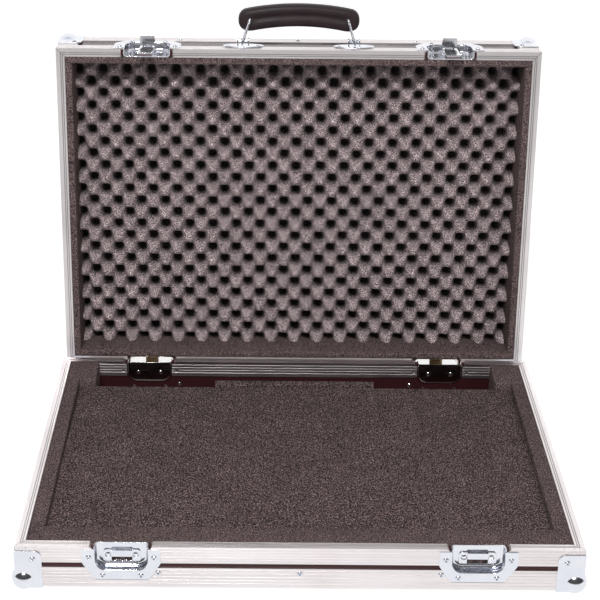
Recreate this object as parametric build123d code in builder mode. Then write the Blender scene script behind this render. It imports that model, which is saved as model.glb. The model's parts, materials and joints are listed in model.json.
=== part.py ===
"""Flight case for a desktop controller: a shallow base and a deeper hinged lid, shown open.

Millimetres. +X runs to the right, +Y to the back and +Z up, with the origin at the centre of
the base panel's underside. Lid pieces are drawn on the closed case and then turned open about
the hinge pins. Heights in both halves are given as distances from the closing plane.
"""
from build123d import *
import os

# Overall sizes
WIDTH = 600.0
DEPTH = 420.0
METAL = 1.75
PLY = 7.0
SKIN = METAL + PLY
PROFILE = PLY + 2 * METAL
BASE_HEIGHT = 51.0
LID_HEIGHT = 76.0
CLOSE_Z = BASE_HEIGHT - METAL
CLOSING_GAP = 0.2

# Edge sections
CLOSING_LEG = 20.5
ANGLE_LEG = 24.5
RIB_DEPTH = 0.35
RIB_WIDTH = 0.9
PANEL_STEP = 0.3

# Hinge: the pins lie outside the rear wall and below the closing plane
PIN_OUT = 3.0
PIN_DROP = 24.0
PIN_RADIUS = 2.5
RUNNING_CLEARANCE = 0.05
KNUCKLE_RADIUS = 4.0
ARM_INNER = 9.0
ARM_OUTER = 20.5
STRAP_TOP = 9.5
LID_OPEN = 95.5
PIN_Y = DEPTH / 2 + PIN_OUT
PIN_Z = CLOSE_Z - PIN_DROP
HINGE_AXIS = Axis((0, PIN_Y, PIN_Z), (1, 0, 0))

# Recessed dishes
FITTING_X = 188.0
SHEET = 1.2
DISH_OPENING = 55.3
DISH_DEPTH = PROFILE - SHEET
DISH_CORNER = 12.0
DISH_LIP = 1.0
DISH_ROUND = 3.0
PAN_ROUND = 4.0
FLANGE_TOP = 3.0
FLANGE_HALF = 41.5
KEEPER_OPENING = 29.0
KEEPER_FLANGE = 40.5
LATCH_OPENING = 40.0
LATCH_FLANGE = 50.5
NOTCH_CHAMFER = 4.5
CUT_GAP = 0.3

# Riveted plates in the dishes
PLATE = 1.5
PLATE_HALF = 20.0
PLATE_TOP = 9.0
PLATE_LOW = 24.5
HINGE_PLATE_HALF = 20.5
SLOT_HALF = 11.0
SLOT_LOW = 23.2
BRIDGE_DROP = 16.5
BRIDGE_RISE = 3.8
PLATE_RIVETS = [(-14.5, 15.5), (14.5, 15.5)]

# Latch
SPINDLE_UP = 20.0
HOOK_TRAVEL = 4.0
STRAP_HALF = 9.0
STRAP_OUT = 0.4
WING_PIVOT_DEPTH = 2.2
WING_PIN = 1.0
WING_BARREL = 1.6
WING_REACH = 15.0

# Handle
HANDLE_UP = 22.0
BRACKET_X = 69.0
BAR_OUT = 7.6
BAR_RADIUS = 2.0
EYE_X = 60.5
EYE_OUT = 35.8
WIRE_RADIUS = 1.6
GRIP_THICK = 21.0
GRIP_TALL = 28.0

# Rivets
RIVET_HEAD = 3.3
RIVET_SHANK = 1.9
RIVET_RISE = 1.3
RIVET_BORE = 1.2
RIVET_HOLE = RIVET_SHANK + 0.1
CORNER_RIVET_IN = 18.5
CORNER_RIVET_UP = 35.0

# Foam
FOAM_TOP_GAP = 0.5
FOAM_SIDE_X = 273.0
FOAM_FRONT_Y = -172.0
FOAM_BLOCK_X = 252.5
FOAM_BLOCK_Y = 150.0
RECESS_DROP = 8.7
TRENCH_BLOCK_DROP = 26.0
LID_FOAM = 8.5
CRATE_FACE = 34.0

# Corners
LEAF = 1.2
LEAF_WIDE = 28.0
LEAF_TALL = 45.0
LEAF_CORNER = 8.0
BALL_RADIUS = 13.5
BALL_IN = 7.5

BASE = -1
LID = 1
SIDES = ("front", "rear", "left", "right")


def height_of(half):
    """Distance from the closing plane to the outside of a half."""
    return BASE_HEIGHT if half == BASE else LID_HEIGHT


def rail_plane(side):
    """A plane on the closing plane: x along a side from its middle, y inward."""
    if side == "front":
        return Plane(origin=(0, -DEPTH / 2, CLOSE_Z), x_dir=(1, 0, 0), z_dir=(0, 0, 1))
    if side == "rear":
        return Plane(origin=(0, DEPTH / 2, CLOSE_Z), x_dir=(-1, 0, 0), z_dir=(0, 0, 1))
    if side == "left":
        return Plane(origin=(-WIDTH / 2, 0, CLOSE_Z), x_dir=(0, -1, 0), z_dir=(0, 0, 1))
    return Plane(origin=(WIDTH / 2, 0, CLOSE_Z), x_dir=(0, 1, 0), z_dir=(0, 0, 1))


def wall_plane(side):
    """A plane on an outer face: x along the wall, y up, z outward."""
    rail = rail_plane(side)
    return Plane(origin=rail.origin, x_dir=rail.x_dir, z_dir=rail.y_dir * -1)


def outer_plane(half):
    """A plane on the underside of the base's edges, or on the top of the lid's."""
    return Plane(
        origin=(0, 0, CLOSE_Z + half * height_of(half)),
        x_dir=(1, 0, 0),
        z_dir=(0, 0, half),
    )


def seat(side, x, half):
    """A plane on an outer wall at a fitting: y away from the closing plane, z outward."""
    outward = -1 if side == "front" else 1
    return Plane(
        origin=(x, outward * DEPTH / 2, CLOSE_Z),
        x_dir=(-half * outward, 0, 0),
        z_dir=(0, outward, 0),
    )


def cross_plane(plane, x, up=0.0, out=0.0):
    """A plane square to a seat: x runs up the seat, y outward."""
    origin = plane.from_local_coords((x, up, out))
    return Plane(origin=origin, x_dir=plane.y_dir, z_dir=plane.x_dir)


def shelf_plane(plane, up, out=0.0):
    """A plane standing out of a seat: x along the seat, y outward, z towards the closing plane."""
    origin = plane.from_local_coords((0, up, out))
    return Plane(origin=origin, x_dir=plane.x_dir, z_dir=plane.y_dir * -1)


def write(piece, name, turned_open=False):
    """Labels one piece, turns it open with the lid where asked, and writes its file."""
    shape = piece.part
    if turned_open:
        shape = shape.rotate(HINGE_AXIS, -LID_OPEN)
    shape.label = name
    export_step(shape, f"parts/{name}.step")


def mitred_bar(side, half, start, stop, near, far, mode=Mode.ADD):
    """A mitred bar along one side, between two distances from the closing plane."""
    reach = (WIDTH if side in ("front", "rear") else DEPTH) / 2
    with BuildSketch(rail_plane(side).offset(half * start)) as section:
        Polygon(
            (near - reach, near),
            (reach - near, near),
            (reach - far, far),
            (far - reach, far),
            align=None,
        )
    extrude(section.sketch, amount=half * (stop - start), mode=mode)


def vertex_cut(half):
    """Takes the outer corners off, where the balls sit."""
    middle = CLOSE_Z + half * (height_of(half) - BALL_IN / 2)
    for i in (-1, 1):
        for j in (-1, 1):
            with Locations((i * (WIDTH - BALL_IN) / 2, j * (DEPTH - BALL_IN) / 2, middle)):
                Box(BALL_IN, BALL_IN, BALL_IN, mode=Mode.SUBTRACT)


def fitting_openings(side, half):
    """The places and depths of the pan openings in one wall."""
    if side in ("left", "right"):
        return []
    deep = LATCH_OPENING if (half == LID and side == "front") else KEEPER_OPENING
    return [(-FITTING_X, deep), (FITTING_X, deep)]


def pan_hole(plane, opening):
    """Cuts the rounded hole that a dish's pan goes into."""
    wide = DISH_OPENING + 2 * SHEET + 2 * CUT_GAP
    with BuildSketch(plane.offset(2)) as outline:
        with Locations((0, -1)):
            Rectangle(wide, opening + SHEET + CUT_GAP + 1, align=(Align.CENTER, Align.MIN))
        fillet(outline.vertices().sort_by(Axis.Y)[-2:], DISH_CORNER + SHEET)
    extrude(outline.sketch, amount=-(PROFILE + 3), mode=Mode.SUBTRACT)


def flange_rivets(half, side):
    """Rivet places on a dish flange, as (across, away from the closing plane)."""
    low = 45.0 if (half == LID and side == "front") else 36.0
    return [(-34.4, 13.6), (34.4, 13.6), (-20.4, low), (20.4, low)]


def wall_rivets(side, half):
    """Rivet places through one wall, on its own plane: edge, corner and dish rivets."""
    edge_drop = 33.0 if half == BASE else 64.0
    corner_drop = height_of(half) - CORNER_RIVET_UP
    long_side = side in ("front", "rear")
    spread = (-149.5, 0.0, 149.5) if long_side else (-75.0, 75.0)
    corner_x = (WIDTH if long_side else DEPTH) / 2 - CORNER_RIVET_IN
    edge = [(x, half * edge_drop) for x in spread]
    corner = [(x, half * corner_drop) for x in (-corner_x, corner_x)]
    dishes = [
        (middle + x, half * y)
        for middle, _ in fitting_openings(side, half)
        for x, y in flange_rivets(half, side)
    ]
    return edge, corner, dishes


def outer_rivets():
    """Rivet places of the ball corners on the outer face of a half."""
    x, y = WIDTH / 2 - CORNER_RIVET_IN, DEPTH / 2 - CORNER_RIVET_IN
    return [(i * x, j * y) for i in (-1, 1) for j in (-1, 1)]


def punch(plane, points, through):
    """Cuts rivet holes from just outside a plane to a distance behind it."""
    with BuildSketch(plane.offset(3)) as holes:
        with Locations(*points):
            Circle(RIVET_HOLE)
    extrude(holes.sketch, amount=-(through + 3), mode=Mode.SUBTRACT)


def punch_wall(side, half, through):
    """Cuts the holes of every rivet that goes through one wall."""
    edge, corner, dishes = wall_rivets(side, half)
    punch(wall_plane(side), edge + corner + dishes, through)


def closing_profile(side, half):
    """The channel that caps the ply along the closing plane."""
    notch = DISH_OPENING / 2 + SHEET + CUT_GAP
    with BuildPart() as profile:
        mitred_bar(side, half, CLOSING_GAP, CLOSING_LEG, 0, PROFILE)
        mitred_bar(side, half, METAL, CLOSING_LEG, METAL, SKIN, Mode.SUBTRACT)
        for groove in (5.2, 7.4):
            mitred_bar(side, half, 0, 0.7, groove, groove + 0.8, Mode.SUBTRACT)
        for step in (1.6, 5.1, 8.6, 12.1, 15.6):
            mitred_bar(side, half, step, step + RIB_WIDTH, 0, RIB_DEPTH, Mode.SUBTRACT)
        for step in (2.4, 6.2, 10.0, 13.8):
            mitred_bar(side, half, step, step + 2, PROFILE - RIB_DEPTH, PROFILE, Mode.SUBTRACT)
        for x, _ in fitting_openings(side, half):
            with BuildSketch(seat(side, x, half).offset(1)) as opening:
                Polygon(
                    (-notch - NOTCH_CHAMFER - 1, -1),
                    (notch + NOTCH_CHAMFER + 1, -1),
                    (notch, NOTCH_CHAMFER),
                    (notch, CLOSING_LEG + 1),
                    (-notch, CLOSING_LEG + 1),
                    (-notch, NOTCH_CHAMFER),
                    align=None,
                )
            extrude(opening.sketch, amount=-(PROFILE + 2), mode=Mode.SUBTRACT)
        punch_wall(side, half, PROFILE + 1)
        if half == LID and side == "front":
            punch(seat(side, 0, half), handle_rivets(), PROFILE + 1)
    return profile


def wall(side, half):
    """One ply wall, with the openings for the dishes on its side."""
    long_side = side in ("front", "rear")
    reach = WIDTH / 2 - METAL if long_side else DEPTH / 2 - SKIN
    with BuildPart() as panel:
        with BuildSketch(rail_plane(side).offset(half * METAL)) as section:
            with Locations((0, METAL)):
                Rectangle(2 * reach, PLY, align=(Align.CENTER, Align.MIN))
        extrude(section.sketch, amount=half * (height_of(half) - 2 * METAL))
        for x, opening in fitting_openings(side, half):
            pan_hole(seat(side, x, half), opening)
        punch_wall(side, half, PROFILE + 1)
        if half == LID and side == "front":
            punch(seat(side, 0, half), handle_rivets(), PROFILE + 1)
        vertex_cut(half)
    return panel


def outer_panel(half):
    """The ply sheet that closes a half, with a shallow step down round its open field."""
    field = PANEL_STEP + ANGLE_LEG
    corner = PANEL_STEP + LEAF_WIDE
    with BuildPart() as panel:
        with BuildSketch(outer_plane(half).offset(-METAL)):
            Rectangle(WIDTH - 2 * field, DEPTH - 2 * field)
            with GridLocations(WIDTH, DEPTH, 2, 2):
                Rectangle(2 * corner, 2 * corner, mode=Mode.SUBTRACT)
        extrude(amount=-PLY)
        with BuildSketch(outer_plane(half).offset(-METAL - PANEL_STEP)):
            Rectangle(WIDTH - 2 * SKIN, DEPTH - 2 * SKIN)
        extrude(amount=PANEL_STEP - PLY)
        punch(outer_plane(half), outer_rivets(), SKIN + 1)
        vertex_cut(half)
    return panel


def edge_angles(half):
    """The ribbed angle along every outer edge, and a short upright one at each corner."""
    height = height_of(half)
    start = height - ANGLE_LEG
    with BuildPart() as angles:
        for side in SIDES:
            mitred_bar(side, half, start, height, 0, METAL)
            mitred_bar(side, half, height - METAL, height, 0, ANGLE_LEG)
        with BuildSketch(outer_plane(half).offset(-ANGLE_LEG)):
            Rectangle(WIDTH, DEPTH)
            Rectangle(WIDTH - 2 * METAL, DEPTH - 2 * METAL, mode=Mode.SUBTRACT)
            Rectangle(WIDTH - 2 * ANGLE_LEG, DEPTH, mode=Mode.SUBTRACT)
            Rectangle(WIDTH, DEPTH - 2 * ANGLE_LEG, mode=Mode.SUBTRACT)
        extrude(amount=-(start - CLOSING_LEG))
        for side in SIDES:
            for step in (2.0, 6.2, 10.4, 14.6, 18.8):
                rib = start + step
                mitred_bar(side, half, rib, rib + RIB_WIDTH, 0, RIB_DEPTH, Mode.SUBTRACT)
                edge = height - RIB_DEPTH
                mitred_bar(side, half, edge, height, step, step + RIB_WIDTH, Mode.SUBTRACT)
            for x, opening in fitting_openings(side, half):
                pan_hole(seat(side, x, half), opening)
            punch_wall(side, half, METAL + 0.5)
        punch(outer_plane(half), outer_rivets(), METAL + 1)
        vertex_cut(half)
    return angles


def pan_floor_edges(block, plane, depth):
    """The rounded run of edges at one depth of a pan, without its straight top edge."""
    level = plane.offset(depth)
    floor = min(block.faces(), key=lambda face: abs(level.to_local_coords(face.center()).Z))
    return [e for e in floor.edges() if level.to_local_coords(e.center()).Y > 1.5]


def dish(side, x, half, opening, flange):
    """A pressed dish: a flange on the wall and an open pan sunk into it."""
    plane = seat(side, x, half)
    with BuildPart() as pressed:
        with BuildSketch(plane) as outline:
            Polygon(
                (-FLANGE_HALF, FLANGE_TOP),
                (FLANGE_HALF, FLANGE_TOP),
                (FLANGE_HALF, flange - 20),
                (FLANGE_HALF - 13, flange),
                (13 - FLANGE_HALF, flange),
                (-FLANGE_HALF, flange - 20),
                align=None,
            )
            fillet(outline.vertices().sort_by(Axis.Y)[2:], 6)
        extrude(amount=SHEET)
        with BuildPart(mode=Mode.PRIVATE) as pan:
            with BuildSketch(plane) as section:
                with Locations((0, DISH_LIP)):
                    Rectangle(
                        DISH_OPENING + 2 * SHEET,
                        opening + SHEET - DISH_LIP,
                        align=(Align.CENTER, Align.MIN),
                    )
                fillet(section.vertices().sort_by(Axis.Y)[-2:], DISH_CORNER + SHEET)
            extrude(amount=-(DISH_DEPTH + SHEET))
            fillet(pan_floor_edges(pan, plane, -(DISH_DEPTH + SHEET)), PAN_ROUND)
        add(pan.part)
        with BuildPart(mode=Mode.PRIVATE) as hollow:
            with BuildSketch(plane.offset(SHEET)) as section:
                with Locations((0, -1)):
                    Rectangle(DISH_OPENING, opening + 1, align=(Align.CENTER, Align.MIN))
                fillet(section.vertices().sort_by(Axis.Y)[-2:], DISH_CORNER)
            extrude(amount=-(DISH_DEPTH + SHEET))
            fillet(pan_floor_edges(hollow, plane, -DISH_DEPTH), DISH_ROUND)
        add(hollow.part, mode=Mode.SUBTRACT)
        if side == "front" and half == BASE:
            with BuildSketch(plane.offset(-DISH_DEPTH + 1)):
                with Locations((0, BRIDGE_DROP)):
                    Rectangle(2 * SLOT_HALF, SLOT_LOW - BRIDGE_DROP, align=(Align.CENTER, Align.MIN))
            extrude(amount=-(SHEET + 2), mode=Mode.SUBTRACT)
        punch(plane, flange_rivets(half, side), 1)
        if side == "rear" or half == BASE:
            punch(plane, PLATE_RIVETS, PROFILE + 1)
    return pressed


def keeper_plate(x):
    """The riveted plate that the hook catches: a slot, and a hollow bridge raised above it."""
    floor = seat("front", x, BASE).offset(-DISH_DEPTH)
    with BuildPart() as plate:
        with BuildSketch(floor) as outline:
            with Locations((0, PLATE_TOP)):
                Rectangle(2 * PLATE_HALF, PLATE_LOW - PLATE_TOP, align=(Align.CENTER, Align.MIN))
            fillet(outline.vertices(), 4)
            with Locations((0, PLATE_TOP - 1)):
                Rectangle(
                    2 * SLOT_HALF,
                    SLOT_LOW - PLATE_TOP + 1,
                    align=(Align.CENTER, Align.MIN),
                    mode=Mode.SUBTRACT,
                )
        extrude(amount=PLATE)
        with BuildSketch(floor):
            with Locations((0, PLATE_TOP)):
                Rectangle(2 * SLOT_HALF, BRIDGE_DROP - PLATE_TOP, align=(Align.CENTER, Align.MIN))
        extrude(amount=BRIDGE_RISE)
        with BuildSketch(floor.offset(-1)):
            with Locations((0, PLATE_TOP + PLATE)):
                Rectangle(2 * (SLOT_HALF - PLATE), 12, align=(Align.CENTER, Align.MIN))
        extrude(amount=1 + BRIDGE_RISE - PLATE, mode=Mode.SUBTRACT)
        punch(floor, PLATE_RIVETS, 1)
    return plate


def across_hinge(start, length, *points):
    """Extrudes a section along X, drawn as (out from the rear wall, up from the closing plane)."""
    with BuildSketch(Plane.YZ.offset(start)) as section:
        Polygon(*[(DEPTH / 2 + out, CLOSE_Z + up) for out, up in points], align=None)
    extrude(section.sketch, amount=length)


def on_pin(start, length, radius, mode=Mode.ADD):
    """A round bar or bore on the hinge axis."""
    with BuildSketch(Plane.YZ.offset(start)) as section:
        with Locations((PIN_Y, PIN_Z)):
            Circle(radius)
    extrude(section.sketch, amount=length, mode=mode)


def lower_leaf(x):
    """The base's hinge leaf: a plate in the pan and two arms out to their barrels."""
    floor = seat("rear", x, BASE).offset(-DISH_DEPTH)
    low = PLATE / 2 - PIN_DROP
    arm = ARM_OUTER - ARM_INNER
    with BuildPart() as leaf:
        with BuildSketch(floor):
            with Locations((0, 5)):
                Rectangle(
                    2 * HINGE_PLATE_HALF,
                    PIN_DROP + PLATE / 2 - 5,
                    align=(Align.CENTER, Align.MIN),
                )
        extrude(amount=PLATE)
        for start in (x - ARM_OUTER, x + ARM_INNER):
            across_hinge(
                start,
                arm,
                (-DISH_DEPTH, low - PLATE),
                (PIN_OUT, low - PLATE),
                (PIN_OUT, low),
                (-DISH_DEPTH, low),
            )
            on_pin(start, arm, KNUCKLE_RADIUS)
        on_pin(x - ARM_OUTER - 1, 2 * ARM_OUTER + 2, PIN_RADIUS + RUNNING_CLEARANCE, Mode.SUBTRACT)
        punch(floor, PLATE_RIVETS, 1)
    return leaf


def upper_leaf(x):
    """The lid's hinge leaf: a plate in its own pan and a strap down to the middle barrel."""
    floor = seat("rear", x, LID).offset(-DISH_DEPTH)
    half_wide = ARM_INNER - 0.4
    with BuildPart() as leaf:
        with BuildSketch(floor):
            with Locations((0, STRAP_TOP - PLATE)):
                Rectangle(2 * HINGE_PLATE_HALF, 14, align=(Align.CENTER, Align.MIN))
        extrude(amount=PLATE)
        across_hinge(
            x - half_wide,
            2 * half_wide,
            (PIN_OUT - PLATE / 2, -PIN_DROP),
            (PIN_OUT + PLATE / 2, -PIN_DROP),
            (PIN_OUT + PLATE / 2, STRAP_TOP),
            (-DISH_DEPTH, STRAP_TOP),
            (-DISH_DEPTH, STRAP_TOP - PLATE),
            (PIN_OUT - PLATE / 2, STRAP_TOP - PLATE),
        )
        on_pin(x - half_wide, 2 * half_wide, KNUCKLE_RADIUS)
        on_pin(x - half_wide - 1, 2 * half_wide + 2, PIN_RADIUS + RUNNING_CLEARANCE, Mode.SUBTRACT)
        punch(floor, PLATE_RIVETS, 1)
    return leaf


def hinge_pins():
    """Two headed pins, one through the barrels of each hinge."""
    with BuildPart() as pins:
        for x in (-FITTING_X, FITTING_X):
            on_pin(x - ARM_OUTER, 2 * ARM_OUTER, PIN_RADIUS)
            on_pin(x - ARM_OUTER - 1.2, 1.2, PIN_RADIUS + 0.9)
            on_pin(x + ARM_OUTER, 1.2, PIN_RADIUS + 0.9)
    return pins


def corner_block(i, j, half, outside, wide, tall, mode=Mode.ADD):
    """A block on one outer corner of the case, starting a little outside it."""
    corner = Vector(i * WIDTH / 2, j * DEPTH / 2, CLOSE_Z + half * height_of(half))
    middle = corner - Vector(
        i * (wide / 2 - outside),
        j * (wide / 2 - outside),
        half * (tall / 2 - outside),
    )
    with Locations(middle):
        Box(wide, wide, tall, mode=mode)


def ball_corner(i, j, half):
    """Three leaves and a ball over one outer corner."""
    corner = (i * WIDTH / 2, j * DEPTH / 2, CLOSE_Z + half * height_of(half))
    ball_at = (
        corner[0] - i * BALL_IN,
        corner[1] - j * BALL_IN,
        corner[2] - half * BALL_IN,
    )
    with BuildPart() as core:
        corner_block(i, j, half, 0, 80, 80)
        corner_block(i, j, half, 0, BALL_IN, BALL_IN, Mode.SUBTRACT)
    with BuildPart() as ball:
        corner_block(i, j, half, LEAF, LEAF_WIDE + LEAF, LEAF_TALL + LEAF)
        edges = ball.edges()
        far = [edges.filter_by(axis).sort_by_distance(corner)[-1] for axis in (Axis.X, Axis.Y, Axis.Z)]
        fillet(far, LEAF_CORNER)
        corner_block(i, j, half, LEAF, BALL_IN + LEAF, BALL_IN + LEAF, Mode.SUBTRACT)
        with Locations(ball_at):
            Sphere(BALL_RADIUS)
        add(core.part, mode=Mode.SUBTRACT)
        punch_wall("front" if j < 0 else "rear", half, 1)
        punch_wall("left" if i < 0 else "right", half, 1)
        punch(outer_plane(half), outer_rivets(), 1)
    return ball


def rivet(length, rise=RIVET_RISE, tail=False, hollow=True):
    """One rivet on the origin: a flat hollow head or a domed one, a shank and perhaps a tail."""
    flat = RIVET_HEAD - rise if hollow else 0.0
    with BuildPart() as piece:
        with BuildSketch(Plane.XZ):
            with BuildLine():
                if hollow:
                    Line((0, rise), (flat, rise))
                TangentArc((flat, rise), (RIVET_HEAD, 0), tangent=(1, 0))
                Polyline(
                    (RIVET_HEAD, 0),
                    (RIVET_SHANK, 0),
                    (RIVET_SHANK, -length),
                    (0, -length),
                    (0, rise),
                )
            make_face()
        revolve(axis=Axis.Z)
        if tail:
            with BuildSketch(Plane.XZ):
                with BuildLine():
                    TangentArc((0, -length - 1), (RIVET_SHANK + 1.1, -length), tangent=(1, 0))
                    Polyline(
                        (RIVET_SHANK + 1.1, -length),
                        (0, -length),
                        (0, -length - 1),
                    )
                make_face()
            revolve(axis=Axis.Z)
        if hollow:
            with BuildSketch(Plane.XY.offset(rise + 1)):
                Circle(RIVET_BORE)
            extrude(amount=-(rise + 2), mode=Mode.SUBTRACT)
    return piece.part


def spots(plane, points):
    return [plane.location * Location((x, y, 0)) for x, y in points]


def all_rivets(half):
    """Every rivet of one half: walls, corners, dish flanges, pan plates and handle plates."""
    edge_spots, corner_spots, flange_spots = [], [], []
    for side in SIDES:
        face = wall_plane(side)
        edge, corner, dishes = wall_rivets(side, half)
        edge_spots += spots(face, edge)
        corner_spots += spots(face.offset(LEAF), corner)
        flange_spots += spots(face.offset(SHEET), dishes)
    plate_spots = {side: [] for side in ("front", "rear")}
    for side in plate_spots:
        for x in (-FITTING_X, FITTING_X):
            plate_spots[side] += spots(seat(side, x, half).offset(PLATE - DISH_DEPTH), PLATE_RIVETS)
    foam_side = plate_spots["front" if half == BASE else "rear"]
    open_side = plate_spots["rear"]
    leaf_face = outer_plane(half).offset(LEAF)
    with BuildPart() as rivets:
        with Locations(*edge_spots):
            add(rivet(SKIN, tail=True))
        with Locations(*corner_spots, *spots(leaf_face, outer_rivets())):
            add(rivet(SKIN + LEAF))
        with Locations(*flange_spots):
            add(rivet(SKIN + SHEET))
        with Locations(*foam_side):
            add(rivet(PLATE + SHEET, rise=1.0, hollow=False))
        if half == BASE:
            with Locations(*open_side):
                add(rivet(PLATE + SHEET, rise=1.0, tail=True, hollow=False))
        else:
            with Locations(*spots(seat("front", 0, LID).offset(PLATE), handle_rivets())):
                add(rivet(SKIN + PLATE, rise=1.0, hollow=False))
    return rivets


def handle_rivets():
    """Rivet places at both ends of the two handle plates."""
    return [(i * BRACKET_X + k * 18.5, HANDLE_UP) for i in (-1, 1) for k in (-1, 1)]


def latch_rotor(x):
    """The turning boss of a latch, with the lug that carries its wing."""
    plane = seat("front", x, LID)
    floor = plane.offset(0.2 - DISH_DEPTH)
    pivot = cross_plane(plane, -2, SPINDLE_UP, -WING_PIVOT_DEPTH)
    with BuildPart() as rotor:
        with BuildSketch(floor):
            with Locations((0, SPINDLE_UP)):
                Circle(8.5)
        extrude(amount=2.8)
        with BuildSketch(floor):
            with Locations((0, SPINDLE_UP)):
                Circle(4.5)
        extrude(amount=4.9)
        with BuildSketch(floor):
            with Locations((0, SPINDLE_UP)):
                Rectangle(4.0, 2 * WING_BARREL)
        extrude(amount=DISH_DEPTH - 0.2 - WING_PIVOT_DEPTH)
        with BuildSketch(pivot):
            Circle(WING_BARREL)
        extrude(amount=4)
        with BuildSketch(pivot.offset(-1)):
            Circle(WING_PIN + RUNNING_CLEARANCE)
        extrude(amount=6, mode=Mode.SUBTRACT)
    return rotor


def latch_wing(x):
    """The folding wing that turns a latch, standing up out of its dish."""
    plane = seat("front", x, LID)
    face = shelf_plane(plane, SPINDLE_UP + 1, -WING_PIVOT_DEPTH)
    pivot = cross_plane(plane, -4.1, SPINDLE_UP, -WING_PIVOT_DEPTH)
    with BuildPart() as wing:
        with BuildSketch(face):
            with Locations((0, 2.25)):
                Rectangle(8.2, 4.5)
            Polygon(
                (-5.5, 3.6),
                (5.5, 3.6),
                (10.0, 7.5),
                (8.4, WING_REACH),
                (-8.4, WING_REACH),
                (-10.0, 7.5),
                align=None,
            )
        extrude(amount=2)
        with BuildSketch(pivot):
            Circle(WING_BARREL)
        extrude(amount=8.2)
        with BuildSketch(face.offset(-2)):
            Rectangle(4.6, 4.8)
        extrude(amount=6, mode=Mode.SUBTRACT)
        with BuildSketch(pivot):
            Circle(WING_PIN)
        extrude(amount=8.2)
    return wing


def latch_hook(x):
    """The sliding strap of a latch: a fork at the spindle and a slanted lip below."""
    plane = seat("front", x, LID)
    low = -26.44
    with BuildPart() as hook:
        with BuildSketch(plane.offset(STRAP_OUT)):
            with Locations((0, low)):
                Rectangle(2 * STRAP_HALF, 19.5 - low, align=(Align.CENTER, Align.MIN))
            with Locations((0, 21.5)):
                SlotOverall(21, 11, rotation=90, mode=Mode.SUBTRACT)
        extrude(amount=-PLATE)
        with BuildSketch(cross_plane(plane, -8)):
            Polygon(
                (low, STRAP_OUT),
                (low + 4.5, STRAP_OUT),
                (low + 4.5, STRAP_OUT - PLATE),
                (low + 3.62, STRAP_OUT - PLATE),
                (low + 7.42, -4.9),
                (low + 5.3, -4.9),
                align=None,
            )
        extrude(amount=16)
    return hook


def handle_plates():
    """The oval plates under both ends of the handle, each with two ears and a cross bar."""
    plane = seat("front", 0, LID)
    with BuildPart() as plates:
        for x in (-BRACKET_X, BRACKET_X):
            with BuildSketch(plane):
                with Locations((x, HANDLE_UP)):
                    Ellipse(25.5, 11.5)
            extrude(amount=PLATE)
            for ear in (x - 7.5, x + 6):
                with BuildSketch(cross_plane(plane, ear, HANDLE_UP)):
                    Polygon((-5.5, 0), (5.5, 0), (3.2, BAR_OUT), (-3.2, BAR_OUT), align=None)
                    with Locations((0, BAR_OUT)):
                        Circle(3.2)
                extrude(amount=1.5)
            with BuildSketch(cross_plane(plane, x - 7.5, HANDLE_UP, BAR_OUT)):
                Circle(BAR_RADIUS)
            extrude(amount=15)
        punch(plane, handle_rivets(), 1)
    return plates


def handle_loop(i):
    """One wire loop round a cross bar and through the grip, leaning towards the middle."""
    plane = seat("front", 0, LID)
    foot = plane.from_local_coords(Vector(i * BRACKET_X, HANDLE_UP, BAR_OUT))
    eye = plane.from_local_coords(Vector(i * EYE_X, HANDLE_UP, EYE_OUT))
    rise = (eye - foot).length
    leaning = Plane(origin=foot, x_dir=plane.y_dir, z_dir=plane.y_dir.cross(eye - foot))
    with BuildPart() as loop:
        with BuildLine(leaning) as path:
            FilletPolyline((-16.2, rise), (0, -9.45), (16.2, rise), radius=3.2, close=True)
        with BuildSketch(Plane(origin=path.line @ 0, z_dir=path.line % 0)):
            Circle(WIRE_RADIUS)
        sweep()
    return loop


def handle_grip():
    """The arched grip with rounded ends."""
    plane = seat("front", 0, LID)
    face = shelf_plane(plane, HANDLE_UP + GRIP_THICK / 2)
    with BuildLine() as spine:
        ThreePointArc((-61, 34), (0, 40), (61, 34))
    with BuildPart() as grip:
        with BuildSketch(face):
            SlotArc(spine.edge(), GRIP_TALL)
        extrude(amount=GRIP_THICK)
        fillet(grip.faces().filter_by(face).edges(), 8)
        with BuildSketch(face.offset(-1)):
            with Locations((-EYE_X, EYE_OUT), (EYE_X, EYE_OUT)):
                Circle(WIRE_RADIUS + RUNNING_CLEARANCE)
        extrude(amount=GRIP_THICK + 2, mode=Mode.SUBTRACT)
    return grip


def base_foam_frame():
    """Foam round three sides of the base, with a block in each rear corner."""
    with BuildPart() as foam:
        with BuildSketch(Plane.XY.offset(PLY)):
            Rectangle(WIDTH - 2 * PROFILE, DEPTH - 2 * PROFILE)
            with Locations((0, FOAM_FRONT_Y)):
                Rectangle(
                    2 * FOAM_SIDE_X,
                    FOAM_BLOCK_Y - FOAM_FRONT_Y,
                    align=(Align.CENTER, Align.MIN),
                    mode=Mode.SUBTRACT,
                )
            with Locations((0, FOAM_BLOCK_Y - 1)):
                Rectangle(
                    2 * FOAM_BLOCK_X,
                    DEPTH / 2,
                    align=(Align.CENTER, Align.MIN),
                    mode=Mode.SUBTRACT,
                )
        extrude(amount=CLOSE_Z - PLY - FOAM_TOP_GAP)
    return foam


def base_foam_pad():
    """The pad that fills the tray between the foam strips, a step lower than them."""
    with BuildPart() as pad:
        with BuildSketch(Plane.XY.offset(PLY)):
            with Locations((0, FOAM_FRONT_Y)):
                Rectangle(
                    2 * FOAM_SIDE_X,
                    FOAM_BLOCK_Y - FOAM_FRONT_Y,
                    align=(Align.CENTER, Align.MIN),
                )
        extrude(amount=CLOSE_Z - RECESS_DROP - PLY)
    return pad


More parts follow.
